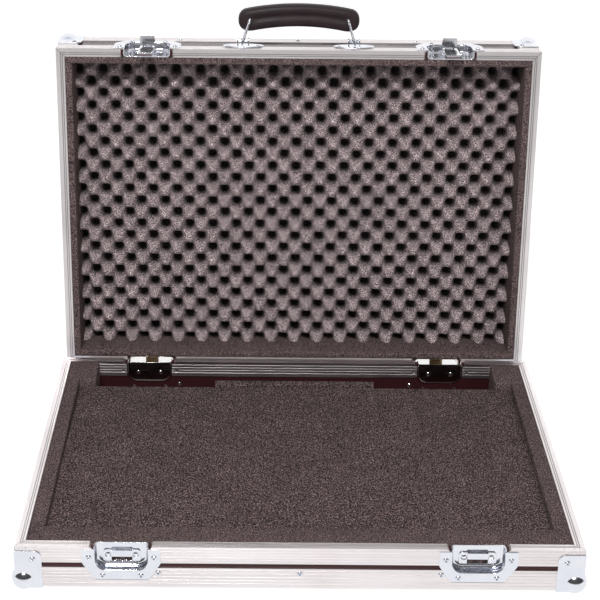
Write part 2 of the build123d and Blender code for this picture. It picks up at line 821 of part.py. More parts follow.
def trench_foam():
    """The foam block against the rear wall, in the cable trench behind the pad."""
    with BuildPart() as block:
        with BuildSketch(Plane.XY.offset(PLY)):
            with Locations((0, DEPTH / 2 - PROFILE)):
                Rectangle(206, 12, align=(Align.CENTER, Align.MAX))
        extrude(amount=CLOSE_Z - TRENCH_BLOCK_DROP - PLY)
    return block


def lid_foam_walls():
    """The foam strip round the inside of the lid."""
    inset = PROFILE + LID_FOAM
    with BuildPart() as foam:
        with BuildSketch(Plane.XY.offset(CLOSE_Z + FOAM_TOP_GAP)):
            Rectangle(WIDTH - 2 * PROFILE, DEPTH - 2 * PROFILE)
            Rectangle(WIDTH - 2 * inset, DEPTH - 2 * inset, mode=Mode.SUBTRACT)
        extrude(amount=LID_HEIGHT - SKIN - FOAM_TOP_GAP)
    return foam


def lid_crate_foam():
    """The space that the egg-crate foam takes up inside the lid."""
    inset = PROFILE + LID_FOAM
    with BuildPart() as foam:
        with BuildSketch(Plane.XY.offset(CLOSE_Z + CRATE_FACE)):
            Rectangle(WIDTH - 2 * inset, DEPTH - 2 * inset)
        extrude(amount=LID_HEIGHT - SKIN - CRATE_FACE)
    return foam


os.makedirs("parts", exist_ok=True)

for half, word in ((BASE, "base"), (LID, "lid")):
    opened = half == LID
    write(outer_panel(half), f"{word}_panel", opened)
    write(edge_angles(half), f"{word}_edge_angles", opened)
    for side in SIDES:
        write(wall(side, half), f"{word}_wall_{side}", opened)
        write(closing_profile(side, half), f"{word}_profile_{side}", opened)
    for j, depthwise in ((-1, "front"), (1, "rear")):
        for i, hand in ((-1, "left"), (1, "right")):
            write(ball_corner(i, j, half), f"{word}_corner_{depthwise}_{hand}", opened)

for x, hand in ((-FITTING_X, "left"), (FITTING_X, "right")):
    write(dish("front", x, BASE, KEEPER_OPENING, KEEPER_FLANGE), f"keeper_dish_{hand}")
    write(keeper_plate(x), f"keeper_plate_{hand}")
    write(dish("rear", x, BASE, KEEPER_OPENING, KEEPER_FLANGE), f"hinge_dish_lower_{hand}")
    write(lower_leaf(x), f"hinge_leaf_lower_{hand}")
    write(dish("rear", x, LID, KEEPER_OPENING, KEEPER_FLANGE), f"hinge_dish_upper_{hand}", True)
    write(upper_leaf(x), f"hinge_leaf_upper_{hand}", True)
    write(dish("front", x, LID, LATCH_OPENING, LATCH_FLANGE), f"latch_dish_{hand}", True)
    write(latch_rotor(x), f"latch_rotor_{hand}", True)
    write(latch_wing(x), f"latch_wing_{hand}", True)
    write(latch_hook(x), f"latch_hook_{hand}", True)

write(hinge_pins(), "hinge_pins")
write(all_rivets(BASE), "base_rivets")
write(all_rivets(LID), "lid_rivets", True)
write(base_foam_frame(), "base_foam_frame")
write(base_foam_pad(), "base_foam_pad")
write(trench_foam(), "trench_foam")
write(lid_foam_walls(), "lid_foam_walls", True)
write(lid_crate_foam(), "lid_crate_foam", True)
write(handle_plates(), "handle_plates", True)
write(handle_loop(-1), "handle_loop_left", True)
write(handle_loop(1), "handle_loop_right", True)
write(handle_grip(), "handle_grip", True)
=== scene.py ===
"""Finishes, foam, grip, fittings and stage for the flight case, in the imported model's frame."""

import json
import math

import bmesh
import bpy
from bpy.props import FloatProperty, FloatVectorProperty, IntProperty, PointerProperty
from mathutils import Matrix, Vector, noise


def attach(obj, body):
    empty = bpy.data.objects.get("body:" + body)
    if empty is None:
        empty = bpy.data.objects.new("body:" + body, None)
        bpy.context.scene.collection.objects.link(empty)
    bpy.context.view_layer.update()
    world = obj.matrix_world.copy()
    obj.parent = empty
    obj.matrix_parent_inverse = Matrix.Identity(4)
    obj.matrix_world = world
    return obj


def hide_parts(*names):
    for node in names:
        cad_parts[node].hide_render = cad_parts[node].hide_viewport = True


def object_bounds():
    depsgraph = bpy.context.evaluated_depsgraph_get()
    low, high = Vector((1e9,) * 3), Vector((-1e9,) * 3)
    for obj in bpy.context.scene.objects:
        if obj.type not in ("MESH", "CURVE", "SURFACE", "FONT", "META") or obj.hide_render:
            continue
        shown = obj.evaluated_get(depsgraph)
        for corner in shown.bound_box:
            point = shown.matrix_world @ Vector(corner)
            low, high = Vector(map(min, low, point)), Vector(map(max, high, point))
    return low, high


bl_info = {
    "name": "Flight case finishes",
    "version": (1, 0, 0),
    "blender": (4, 5, 0),
    "location": "3D View > Sidebar > Flight case",
    "description": "Foam, grip, fittings and finishes for a flight case",
    "category": "Object",
}

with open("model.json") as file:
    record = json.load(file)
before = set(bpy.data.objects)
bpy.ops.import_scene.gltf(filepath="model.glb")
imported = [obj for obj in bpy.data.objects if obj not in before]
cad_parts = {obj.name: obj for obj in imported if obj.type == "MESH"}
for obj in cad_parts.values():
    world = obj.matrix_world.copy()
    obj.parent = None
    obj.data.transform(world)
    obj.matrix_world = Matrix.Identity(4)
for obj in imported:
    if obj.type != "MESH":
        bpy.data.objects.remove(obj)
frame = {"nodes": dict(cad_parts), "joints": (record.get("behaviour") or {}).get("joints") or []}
CAD_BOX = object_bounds()
NODES = frame["nodes"]
JOINTS = {joint["name"]: joint for joint in frame["joints"]}

MM = 0.001
HANDS = ("left", "right")
SIDES = ("front", "rear", "left", "right")
CORNERS = ("front_left", "front_right", "rear_left", "rear_right")

HINGE = JOINTS["lid_hinge"]
PIN = Vector(HINGE["pos_m"])
LID_OPEN = math.radians(HINGE["range_deg"][1])
CLOSE_Z = PIN.z + 24.0 * MM
OPENED = (
    Matrix.Translation(PIN)
    @ Matrix.Rotation(-LID_OPEN, 4, "X")
    @ Matrix.Translation(-PIN)
)

# The case's own measures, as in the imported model
HALF_WIDTH = 300.0 * MM
HALF_DEPTH = 210.0 * MM
PROFILE = 10.5 * MM
PANEL_TOP = 7.0 * MM
FITTING_X = 188.0 * MM
PAN_HALF = 27.65 * MM
PAN_LENGTH = 29.0 * MM
LATCH_PAN_LENGTH = 40.0 * MM
SHEET = 1.2 * MM
GROOVES = (5.6 * MM, 7.8 * MM)
STRIP = 8.5 * MM
STRIP_GAP = 0.5 * MM
LID_FOAM_BACK = 67.2 * MM
CRATE_FACE = 34.3 * MM
HANDLE_UP = 22.0 * MM


class CaseSizes(bpy.types.PropertyGroup):
    """Sizes that a user may change."""

    crate_pitch_x: FloatProperty(
        name="Bump pitch across",
        description="Distance between two bumps of one row of the egg-crate foam",
        default=31.0 * MM,
        unit="LENGTH",
    )
    crate_pitch_y: FloatProperty(
        name="Bump pitch along",
        description="Distance between two rows of the egg-crate foam that are not staggered",
        default=31.7 * MM,
        unit="LENGTH",
    )
    crate_shift: FloatProperty(
        name="Bump shift",
        description="Shift of the egg-crate pattern towards the hinge",
        default=0.0,
        unit="LENGTH",
    )
    crate_depth: FloatProperty(
        name="Pit depth",
        description="Height of the egg-crate foam's bumps above its pits",
        default=29.0 * MM,
        unit="LENGTH",
    )
    foam_round: FloatProperty(
        name="Foam edge",
        description="Radius of the foam's cut edges",
        default=1.2 * MM,
        unit="LENGTH",
    )
    edge_round: FloatProperty(
        name="Fitting edge",
        description="Width of the softened edges on the plated fittings",
        default=0.22 * MM,
        unit="LENGTH",
    )
    mouth_round: FloatProperty(
        name="Pan mouth",
        description="Radius of the pressed edge between a dish's flange and its pan",
        default=1.6 * MM,
        unit="LENGTH",
    )
    grip_rings: IntProperty(
        name="Grip rings",
        description="Number of rings along the grip",
        default=64,
        min=12,
    )


class CaseColours(bpy.types.PropertyGroup):
    """Colours that a user may change."""

    foam: FloatVectorProperty(
        name="Foam",
        description="Colour of the foam's cell walls",
        subtype="COLOR",
        default=(0.073, 0.052, 0.052),
    )
    crate: FloatVectorProperty(
        name="Egg-crate foam",
        description="Colour of the egg-crate foam's cell walls",
        subtype="COLOR",
        default=(0.280, 0.226, 0.232),
    )
    board: FloatVectorProperty(
        name="Board",
        description="Colour of the laminated board",
        subtype="COLOR",
        default=(0.040, 0.010, 0.012),
    )
    aluminium: FloatVectorProperty(
        name="Extrusion",
        description="Colour of the aluminium extrusions",
        subtype="COLOR",
        default=(0.95, 0.905, 0.91),
    )
    plating: FloatVectorProperty(
        name="Plating",
        description="Colour of the zinc-plated fittings",
        subtype="COLOR",
        default=(0.84, 0.85, 0.90),
    )
    leather: FloatVectorProperty(
        name="Leather",
        description="Colour of the grip's leather",
        subtype="COLOR",
        default=(0.012, 0.0042, 0.0058),
    )


def sizes():
    return bpy.context.scene.case_sizes


def colours():
    return bpy.context.scene.case_colours


def rgba(colour):
    return (*colour, 1.0)


# Shader groups


def new_group(name, inputs, outputs):
    """A shader node group with named float, colour or vector sockets."""
    group = bpy.data.node_groups.new(name, "ShaderNodeTree")
    kinds = {"f": "NodeSocketFloat", "c": "NodeSocketColor", "v": "NodeSocketVector"}
    for socket, kind, value in inputs:
        made = group.interface.new_socket(socket, in_out="INPUT", socket_type=kinds[kind])
        if value is not None:
            made.default_value = value
    for socket, kind in outputs:
        group.interface.new_socket(socket, in_out="OUTPUT", socket_type=kinds[kind])
    source = group.nodes.new("NodeGroupInput")
    sink = group.nodes.new("NodeGroupOutput")
    return group, source.outputs, sink.inputs


def node(tree, kind, **settings):
    """A new node, with its sockets set by name or number and its settings by attribute."""
    made = tree.nodes.new(kind)
    links = settings.pop("links", {})
    values = settings.pop("values", {})
    for key, value in settings.items():
        setattr(made, key, value)
    for key, value in values.items():
        made.inputs[key].default_value = value
    for key, value in links.items():
        tree.links.new(value, made.inputs[key])
    return made


def math_node(tree, operation, a, b=None):
    """The result of one operation on two values, each a number or a socket."""
    made = node(tree, "ShaderNodeMath", operation=operation)
    for index, value in enumerate((a, b)):
        if value is None:
            continue
        if isinstance(value, (int, float)):
            made.inputs[index].default_value = value
        else:
            tree.links.new(value, made.inputs[index])
    return made.outputs[0]


def mix_colour(tree, factor, a, b):
    """From colour a to colour b; each may be a value or a socket."""
    made = node(tree, "ShaderNodeMix", data_type="RGBA")
    for socket, value in ((made.inputs[0], factor), (made.inputs[6], a), (made.inputs[7], b)):
        if isinstance(value, (int, float, tuple)):
            socket.default_value = value
        else:
            tree.links.new(value, socket)
    return made.outputs[2]


def ramp(tree, value, low, high, out_low=0.0, out_high=1.0):
    """The value's range low to high, laid on out_low to out_high and held there beyond it."""
    made = node(
        tree,
        "ShaderNodeMapRange",
        links={"Value": value},
        values={"From Min": low, "From Max": high, "To Min": out_low, "To Max": out_high},
    )
    return made.outputs[0]


def noise_value(tree, vector, scale, detail=3.0, roughness=0.5):
    made = node(
        tree,
        "ShaderNodeTexNoise",
        links={"Vector": vector},
        values={"Scale": scale, "Detail": detail, "Roughness": roughness},
    )
    return made.outputs["Fac"]


def scaled(tree, vector, scale):
    made = node(
        tree,
        "ShaderNodeVectorMath",
        operation="MULTIPLY",
        links={0: vector},
        values={1: scale},
    )
    return made.outputs[0]


def seam_lines(tree, axes):
    """Painted shade in the grooves, and dark mitre joint lines, of the closing profiles, in the
    closed case's coordinates.
    """

    def inward(axis, half):
        return math_node(tree, "SUBTRACT", half, math_node(tree, "ABSOLUTE", axes[axis]))

    def line(distance, width):
        return ramp(tree, math_node(tree, "ABSOLUTE", distance), 0.3 * width, width, 1.0, 0.0)

    from_side, from_front = inward("X", HALF_WIDTH), inward("Y", HALF_DEPTH)
    edge = math_node(tree, "MINIMUM", from_side, from_front)
    first, second = (
        line(math_node(tree, "SUBTRACT", edge, groove), 0.8 * MM) for groove in GROOVES
    )
    grooves = math_node(tree, "MAXIMUM", first, second)
    mitre = line(math_node(tree, "SUBTRACT", from_side, from_front), 0.5 * MM)
    height = math_node(tree, "SUBTRACT", axes["Z"], CLOSE_Z)
    near = math_node(tree, "LESS_THAN", math_node(tree, "ABSOLUTE", height), 8.0 * MM)
    # Painted shade along the grooves' bottoms, with the mitre joints as dark lines.
    groove_shade_and_mitre_line = math_node(tree, "MAXIMUM", math_node(tree, "MULTIPLY", grooves, 0.8), mitre)
    return math_node(tree, "MULTIPLY", groove_shade_and_mitre_line, math_node(tree, "MULTIPLY", near, 0.75))


def drawn_metal_group():
    """Die lines along an extrusion: across the case at front and rear, along it at the sides."""
    group, given, result = new_group(
        "drawn_metal",
        [("Position", "v", None), ("Colour", "c", None), ("Side From", "f", 276.0 * MM)],
        [("Colour", "c"), ("Roughness", "f"), ("Height", "f")],
    )
    split = node(group, "ShaderNodeSeparateXYZ", links={0: given["Position"]})
    outside = math_node(group, "ABSOLUTE", split.outputs["X"])
    at_side = math_node(group, "GREATER_THAN", outside, given["Side From"])
    lines_x = noise_value(group, scaled(group, given["Position"], (2.5, 700, 700)), 1.0, 3.0)
    lines_y = noise_value(group, scaled(group, given["Position"], (700, 2.5, 700)), 1.0, 3.0)
    lines = node(
        group,
        "ShaderNodeMix",
        data_type="FLOAT",
        links={0: at_side, 2: lines_x, 3: lines_y},
    ).outputs[0]
    cloud = noise_value(group, given["Position"], 9.0, 4.0, 0.6)
    clouded = mix_colour(
        group,
        ramp(group, cloud, 0.35, 0.7, 0.0, 0.3),
        given["Colour"],
        (0.72, 0.64, 0.635, 1.0),
    )
    drawn = mix_colour(
        group, ramp(group, lines, 0.35, 0.75, 0.0, 0.22), clouded, (0.45, 0.42, 0.43, 1.0)
    )
    # The profiles darken towards this colour with painted groove shade and dark mitre lines.
    group.links.new(
        mix_colour(group, seam_lines(group, split.outputs), drawn, (0.10, 0.075, 0.075, 1.0)),
        result["Colour"],
    )
    rough = math_node(
        group,
        "ADD",
        ramp(group, lines, 0.3, 0.7, 0.24, 0.44),
        ramp(group, cloud, 0.4, 0.7, -0.03, 0.08),
    )
    group.links.new(rough, result["Roughness"])
    group.links.new(lines, result["Height"])
    return group


def plating_group():
    """Faint clouds, bath marks and hairlines of zinc plating."""
    group, given, result = new_group(
        "zinc_plating",
        [("Position", "v", None), ("Colour", "c", None), ("Warm", "f", 0.0)],
        [("Colour", "c"), ("Roughness", "f"), ("Height", "f")],
    )
    cloud = noise_value(group, given["Position"], 55.0, 4.0, 0.6)
    fine = noise_value(group, given["Position"], 900.0, 2.0, 0.5)
    hair = noise_value(group, scaled(group, given["Position"], (60, 1400, 1400)), 1.0, 2.0)
    tint = mix_colour(group, given["Warm"], (0.74, 0.78, 0.88, 1.0), (0.50, 0.36, 0.20, 1.0))
    dull = mix_colour(group, given["Warm"], given["Colour"], (0.46, 0.40, 0.31, 1.0))
    group.links.new(
        mix_colour(group, ramp(group, cloud, 0.35, 0.7, 0.0, 0.5), dull, tint),
        result["Colour"],
    )
    group.links.new(
        math_node(
            group,
            "ADD",
            ramp(group, cloud, 0.3, 0.7, 0.09, 0.20),
            ramp(group, hair, 0.45, 0.7, 0.0, 0.06),
        ),
        result["Roughness"],
    )
    group.links.new(fine, result["Height"])
    return group


def foam_group():
    """Open cells of polyether foam: dark pores between paler cell walls."""
    group, given, result = new_group(
        "foam_cells",
        [
            ("Position", "v", None),
            ("Colour", "c", None),
            ("Painted Shade", "f", 1.0),
            ("Pore Scale", "f", 620.0),
            ("Contrast", "f", 1.0),
        ],
        [("Colour", "c"), ("Height", "f")],
    )
    cells = node(
        group,
        "ShaderNodeTexVoronoi",
        feature="F1",
        links={"Vector": given["Position"], "Scale": given["Pore Scale"]},
    ).outputs["Distance"]
    grain = node(
        group,
        "ShaderNodeTexNoise",
        links={"Vector": given["Position"], "Scale": given["Pore Scale"]},
        values={"Detail": 3.0, "Roughness": 0.75},
    ).outputs["Fac"]
    patch = noise_value(group, given["Position"], 26.0, 3.0, 0.6)
    walls = math_node(
        group,
        "MULTIPLY",
        ramp(group, cells, 0.1, 0.8, 0.25, 1.55),
        ramp(group, grain, 0.38, 0.64, 0.1, 2.1),
    )
    level = math_node(group, "MULTIPLY", walls, ramp(group, patch, 0.3, 0.7, 0.92, 1.08))
    swing = math_node(group, "SUBTRACT", level, 1.0)
    swing = math_node(group, "MULTIPLY", swing, given["Contrast"])
    pulled = math_node(group, "MAXIMUM", math_node(group, "ADD", swing, 1.0), 0.04)
    # The colour is scaled here by a painted shade from this input; it is 1 where none is given.
    pulled = math_node(group, "MULTIPLY", pulled, given["Painted Shade"])
    shade = node(
        group,
        "ShaderNodeVectorMath",
        operation="SCALE",
        links={0: given["Colour"], "Scale": pulled},
    )
    group.links.new(shade.outputs[0], result["Colour"])
    group.links.new(math_node(group, "MULTIPLY", grain, cells), result["Height"])
    return group


def hide_group():
    """Leather grain with rubbed high spots."""
    group, given, result = new_group(
        "leather_grain",
        [("Position", "v", None), ("Colour", "c", None)],
        [("Colour", "c"), ("Roughness", "f"), ("Height", "f")],
    )
    pebbles = node(
        group,
        "ShaderNodeTexVoronoi",
        feature="DISTANCE_TO_EDGE",
        links={"Vector": given["Position"]},
        values={"Scale": 620.0},
    ).outputs["Distance"]
    rub = noise_value(group, given["Position"], 45.0, 4.0, 0.6)
    group.links.new(
        mix_colour(
            group,
            ramp(group, rub, 0.45, 0.75, 0.0, 0.55),
            given["Colour"],
            (0.026, 0.011, 0.013, 1.0),
        ),
        result["Colour"],
    )
    group.links.new(ramp(group, rub, 0.35, 0.7, 0.40, 0.52), result["Roughness"])
    group.links.new(ramp(group, pebbles, 0.0, 0.12), result["Height"])
    return group


def board_group():
    """Smooth laminate over the board, with a fine grain along its length."""
    group, given, result = new_group(
        "board_grain",
        [("Position", "v", None), ("Colour", "c", None)],
        [("Colour", "c"), ("Roughness", "f"), ("Height", "f")],
    )
    fibre = noise_value(group, scaled(group, given["Position"], (18, 420, 420)), 1.0, 4.0, 0.6)
    cloud = noise_value(group, given["Position"], 14.0, 3.0, 0.5)
    group.links.new(
        mix_colour(
            group,
            ramp(group, fibre, 0.35, 0.7, 0.0, 0.6),
            given["Colour"],
            (0.030, 0.011, 0.012, 1.0),
        ),
        result["Colour"],
    )
    group.links.new(ramp(group, cloud, 0.3, 0.7, 0.26, 0.42), result["Roughness"])
    group.links.new(fibre, result["Height"])
    return group


GROUPS = {}


def group_of(maker):
    """Each shader group is built once."""
    if maker not in GROUPS:
        GROUPS[maker] = maker()
    return GROUPS[maker]


MATERIALS = {}


def new_material(
    name, maker, colour, bump, distance, settings=(), values=(), turned=False, attribute=""
):
    """A material on one shader group, read at Object coordinates and perhaps at an attribute.

    Where it is turned, the coordinates are those of the closed lid.
    """
    if name in MATERIALS:
        return MATERIALS[name]
    material = bpy.data.materials.new(name)
    material.use_nodes = True
    tree = material.node_tree
    shader = tree.nodes["Principled BSDF"]
    position = tree.nodes.new("ShaderNodeTexCoord").outputs["Object"]
    if turned:
        position = node(
            tree,
            "ShaderNodeMapping",
            links={"Vector": position},
            values={
                "Rotation": (LID_OPEN, 0.0, 0.0),
                "Location": OPENED.inverted().translation,
            },
        ).outputs[0]
    effect = node(
        tree,
        "ShaderNodeGroup",
        node_tree=group_of(maker),
        links={"Position": position},
        values={"Colour": rgba(colour)},
    )
    for key, value in values:
        effect.inputs[key].default_value = value
    # An attribute, where given, carries a painted shade into the group.
    if attribute:
        read = node(tree, "ShaderNodeAttribute", attribute_name=attribute)
        tree.links.new(read.outputs["Fac"], effect.inputs["Painted Shade"])
    tree.links.new(effect.outputs["Colour"], shader.inputs["Base Color"])
    if "Roughness" in effect.outputs:
        tree.links.new(effect.outputs["Roughness"], shader.inputs["Roughness"])
    relief = node(
        tree,
        "ShaderNodeBump",
        links={"Height": effect.outputs["Height"]},
        values={"Strength": bump, "Distance": distance},
    )
    tree.links.new(relief.outputs[0], shader.inputs["Normal"])
    for key, value in settings:
        shader.inputs[key].default_value = value
    MATERIALS[name] = material
    return material


def extrusion(turned):
    return new_material(
        "lid_extrusion" if turned else "base_extrusion",
        drawn_metal_group,
        colours().aluminium,
        0.25,
        0.00006,
        settings=(("Metallic", 1.0),),
        turned=turned,
    )


def plating(warm=0.0):
    """Zinc plating, from blue-white at 0 to yellow passivated at 1."""
    return new_material(
        f"zinc_{int(warm * 100):03d}",
        plating_group,
        colours().plating,
        0.03,
        0.00003,
        settings=(("Metallic", 1.0),),
        values=(("Warm", warm),),
    )


def foam(name="foam", contrast=1.9, colour=None, attribute="", pores=620.0):
    return new_material(
        name,
        foam_group,
        colour or colours().foam,
        0.9,
        0.0012,
        settings=(("Roughness", 1.0), ("Specular IOR Level", 0.15)),
        values=(("Contrast", contrast), ("Pore Scale", pores)),
        attribute=attribute,
    )


def strip_foam():
    """The strips' cut faces are a little paler than the pad."""
    colour = [channel * 1.25 for channel in colours().foam]
    return foam("strip_foam", 1.3, colour, pores=760.0)


def board(turned):
    return new_material(
        "lid_board" if turned else "base_board",
        board_group,
        colours().board,
        0.12,
        0.00005,
        settings=(
            ("Specular IOR Level", 0.15),
            ("Coat Weight", 1.0),
            ("Coat IOR", 1.2),
            ("Coat Roughness", 0.25),
        ),
        turned=turned,
    )


def leather():
    return new_material(
        "grip_leather",
        hide_group,
        colours().leather,
        0.5,
        0.0003,
        settings=(("Specular IOR Level", 0.35),),
    )


# Mesh helpers


def give(obj, material):
    obj.data.materials.clear()
    obj.data.materials.append(material)


def finish_piece(bm, name, body, material, replaced, angle, weighted=False):
    """Turns a bmesh into a piece that rides on a body and stands for a CAD node."""
    mesh = bpy.data.meshes.new(name)
    for face in bm.faces:
        face.smooth = True
    bm.to_mesh(mesh)
    bm.free()
    mesh.set_sharp_from_angle(angle=math.radians(angle))
    piece = bpy.data.objects.new(name, mesh)
    bpy.context.scene.collection.objects.link(piece)
    give(piece, material)
    if weighted:
        weights = piece.modifiers.new("weights", "WEIGHTED_NORMAL")
        weights.keep_sharp = True
    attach(piece, body)
    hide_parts(replaced)
    return piece


def bevelled(bm, edges, width, segments, held=False):
    """Rounds some edges; held keeps the round from running into its neighbours."""
    bmesh.ops.bevel(
        bm,
        geom=edges,
        offset=width,
        offset_type="OFFSET",
        segments=segments,
        profile=0.5,
        affect="EDGES",
        clamp_overlap=held,
        material=-1,
    )


def foam_block(bm, low, high, radius):
    """A foam block with cut edges a little rounded, between two corners in metres."""
    low, high = Vector(low), Vector(high)
    made = bmesh.ops.create_cube(bm, size=1.0)["verts"]
    size = high - low
    bmesh.ops.scale(bm, vec=size, verts=made)
    bmesh.ops.translate(bm, vec=(low + high) / 2, verts=made)
    edges = list({edge for vert in made for edge in vert.link_edges})
    bevelled(bm, edges, radius, 3)


def is_sharp(edge):
    return edge.is_manifold and edge.calc_face_angle(0.0) > math.radians(30)


def mouth_edges(bm, side, half, hand, opening):
    """The edges of a pressed pan's mouth, where its walls meet the flange's outer face."""
    turn = OPENED if half == "lid" else Matrix.Identity(4)
    front = -1.0 if side == "front" else 1.0
    across = -FITTING_X if hand == "left" else FITTING_X
    seat = turn @ Vector((across, front * HALF_DEPTH, CLOSE_Z))
    outward = turn.to_3x3() @ Vector((0.0, front, 0.0))
    away = turn.to_3x3() @ Vector((0.0, 0.0, 1.0 if half == "lid" else -1.0))
    slack = 0.1 * MM
    found = []
    for edge in bm.edges:
        places = [vert.co - seat for vert in edge.verts]
        inside = all(
            abs(place.dot(outward) - SHEET) < slack
            and abs(place.x) < PAN_HALF + slack
            and 2.0 * MM < place.dot(away) < opening + slack
            for place in places
        )
        if inside and is_sharp(edge):
            found.append(edge)
    return found


def softened(source, body, material, width, mouth=None):
    """A copy of a CAD node with its sharp edges softened, standing for that node."""
    bm = bmesh.new()
    bm.from_mesh(NODES[source].data)
    bmesh.ops.remove_doubles(bm, verts=bm.verts, dist=2e-6)
    bmesh.ops.dissolve_limit(
        bm, angle_limit=math.radians(0.8), verts=bm.verts, edges=bm.edges
    )
    if mouth:
        bevelled(bm, mouth_edges(bm, *mouth), sizes().mouth_round, 4, held=True)
    bevelled(bm, [edge for edge in bm.edges if is_sharp(edge)], width, 2, held=True)
    finish_piece(bm, f"{source}_plated", body, material, source, 40.0, weighted=True)


# Pieces


class CASE_OT_extrusions(bpy.types.Operator):
    """Gives the closing profiles and edge angles their drawn aluminium"""

    bl_idname = "case.extrusions"
    bl_label = "Extrusions"

    def execute(self, context):
        for half, turned in (("base", False), ("lid", True)):
            metal = extrusion(turned)
            give(NODES[f"{half}_edge_angles"], metal)
            for side in SIDES:
                give(NODES[f"{half}_profile_{side}"], metal)
        return {"FINISHED"}


class CASE_OT_boards(bpy.types.Operator):
    """Gives the laminated boards their dark finish"""

    bl_idname = "case.boards"
    bl_label = "Boards"

    def execute(self, context):
        for half, turned in (("base", False), ("lid", True)):
            give(NODES[f"{half}_panel"], board(turned))
            for side in SIDES:
                give(NODES[f"{half}_wall_{side}"], board(turned))
        return {"FINISHED"}


class CASE_OT_fittings(bpy.types.Operator):
    """Softens and plates the dishes, plates, latches, hinges, rivets and ball corners"""

    bl_idname = "case.fittings"
    bl_label = "Fittings"

    def execute(self, context):
        width = sizes().edge_round
        for half in ("base", "lid"):
            softened(f"{half}_rivets", half, plating(), 0.12 * MM)
            for corner in CORNERS:
                softened(f"{half}_corner_{corner}", half, plating(), 3 * width)
        give(NODES["hinge_pins"], plating(0.5))
        for hand in HANDS:
            for source, side, body, opening, warm in (
                ("keeper_dish", "front", "base", PAN_LENGTH, 0.0),
                ("hinge_dish_lower", "rear", "base", PAN_LENGTH, 0.5),
                ("hinge_dish_upper", "rear", "lid", PAN_LENGTH, 0.5),
                ("latch_dish", "front", "lid", LATCH_PAN_LENGTH, 0.1),
            ):
                mouth = (side, body, hand, opening)
                softened(f"{source}_{hand}", body, plating(warm), width, mouth)
            for source, body, warm in (
                ("keeper_plate", "base", 0.0),
                ("hinge_leaf_lower", "base", 1.0),
                ("hinge_leaf_upper", "lid", 1.0),
                ("latch_rotor", f"latch_turner_{hand}", 0.1),
                ("latch_wing", f"wing_{hand}", 0.1),
                ("latch_hook", f"hook_{hand}", 0.2),
            ):
                softened(f"{source}_{hand}", body, plating(warm), width)
        softened("handle_plates", "lid", plating(), width)
        for hand in HANDS:
            give(NODES[f"handle_loop_{hand}"], plating())
        return {"FINISHED"}


class CASE_OT_crate_foam(bpy.types.Operator):
    """Moulds the egg-crate foam inside the lid"""

    bl_idname = "case.crate_foam"
    bl_label = "Egg-crate foam"

    def execute(self, context):
        half_x = HALF_WIDTH - PROFILE - STRIP
        half_y = HALF_DEPTH - PROFILE - STRIP
        face = CLOSE_Z + CRATE_FACE
        back = CLOSE_Z + LID_FOAM_BACK
        pitch_x, pitch_y, deep = sizes().crate_pitch_x, sizes().crate_pitch_y, sizes().crate_depth
        shift_y = sizes().crate_shift
        bm = bmesh.new()
        bmesh.ops.create_grid(bm, x_segments=280, y_segments=190, size=1.0)
        bmesh.ops.scale(bm, vec=(half_x, half_y, 1.0), verts=bm.verts)
        shade = bm.verts.layers.float.new("shade")
        noise.seed_set(7)
        for vert in bm.verts:
            wander = noise.noise_vector(vert.co * 22.0) * 1.1 * MM
            across = math.cos(2 * math.pi * (vert.co.x + wander.x) / pitch_x)
            along = math.cos(2 * math.pi * (vert.co.y + wander.y - shift_y) / pitch_y)
            wave = ((1.0 - across * along) / 2) ** 1.15
            sunk = 0.4 * wave + 0.6 * wave * wave * (3.0 - 2.0 * wave)
            uneven = 0.4 * MM * noise.noise(vert.co * 160.0)
            vert.co.z = face + deep * sunk + uneven
            # Painted shade: the foam's colour darkens to near black deep in each pit, where shade
            # falls.
            in_pit = min(max((sunk - 0.42) / 0.42, 0.0), 1.0)
            vert[shade] = 1.0 - 0.94 * in_pit
        rim = [edge for edge in bm.edges if edge.is_boundary]
        skirt = bmesh.ops.extrude_edge_only(bm, edges=rim)["geom"]
        for item in skirt:
            if isinstance(item, bmesh.types.BMVert):
                item.co.z = back
        bmesh.ops.holes_fill(bm, edges=[e for e in bm.edges if e.is_boundary], sides=0)
        bmesh.ops.recalc_face_normals(bm, faces=bm.faces)
        bmesh.ops.transform(bm, matrix=OPENED, verts=bm.verts)
        piece = finish_piece(
            bm,
            "egg_crate_foam",
            "lid",
            foam("crate_foam", 1.5, colours().crate, "shade", 850.0),
            "lid_crate_foam",
            60.0,
        )
        return {"FINISHED"}


class CASE_OT_lid_foam(bpy.types.Operator):
    """Cuts the foam strips that line the lid's walls"""

    bl_idname = "case.lid_foam"
    bl_label = "Lid foam strips"

    def execute(self, context):
        outer_x, outer_y = HALF_WIDTH - PROFILE, HALF_DEPTH - PROFILE
        inner_x, inner_y = outer_x - STRIP, outer_y - STRIP
        low, high = CLOSE_Z + STRIP_GAP, CLOSE_Z + LID_FOAM_BACK
        radius = sizes().foam_round
        bm = bmesh.new()
        foam_block(bm, (-outer_x, -outer_y, low), (outer_x, -inner_y, high), radius)
        foam_block(bm, (-outer_x, inner_y, low), (outer_x, outer_y, high), radius)
        foam_block(bm, (-outer_x, -inner_y, low), (-inner_x, inner_y, high), radius)
        foam_block(bm, (inner_x, -inner_y, low), (outer_x, inner_y, high), radius)
        bmesh.ops.transform(bm, matrix=OPENED, verts=bm.verts)
        piece = finish_piece(
            bm, "lid_foam_strips", "lid", strip_foam(), "lid_foam_walls", 50.0
        )
        return {"FINISHED"}


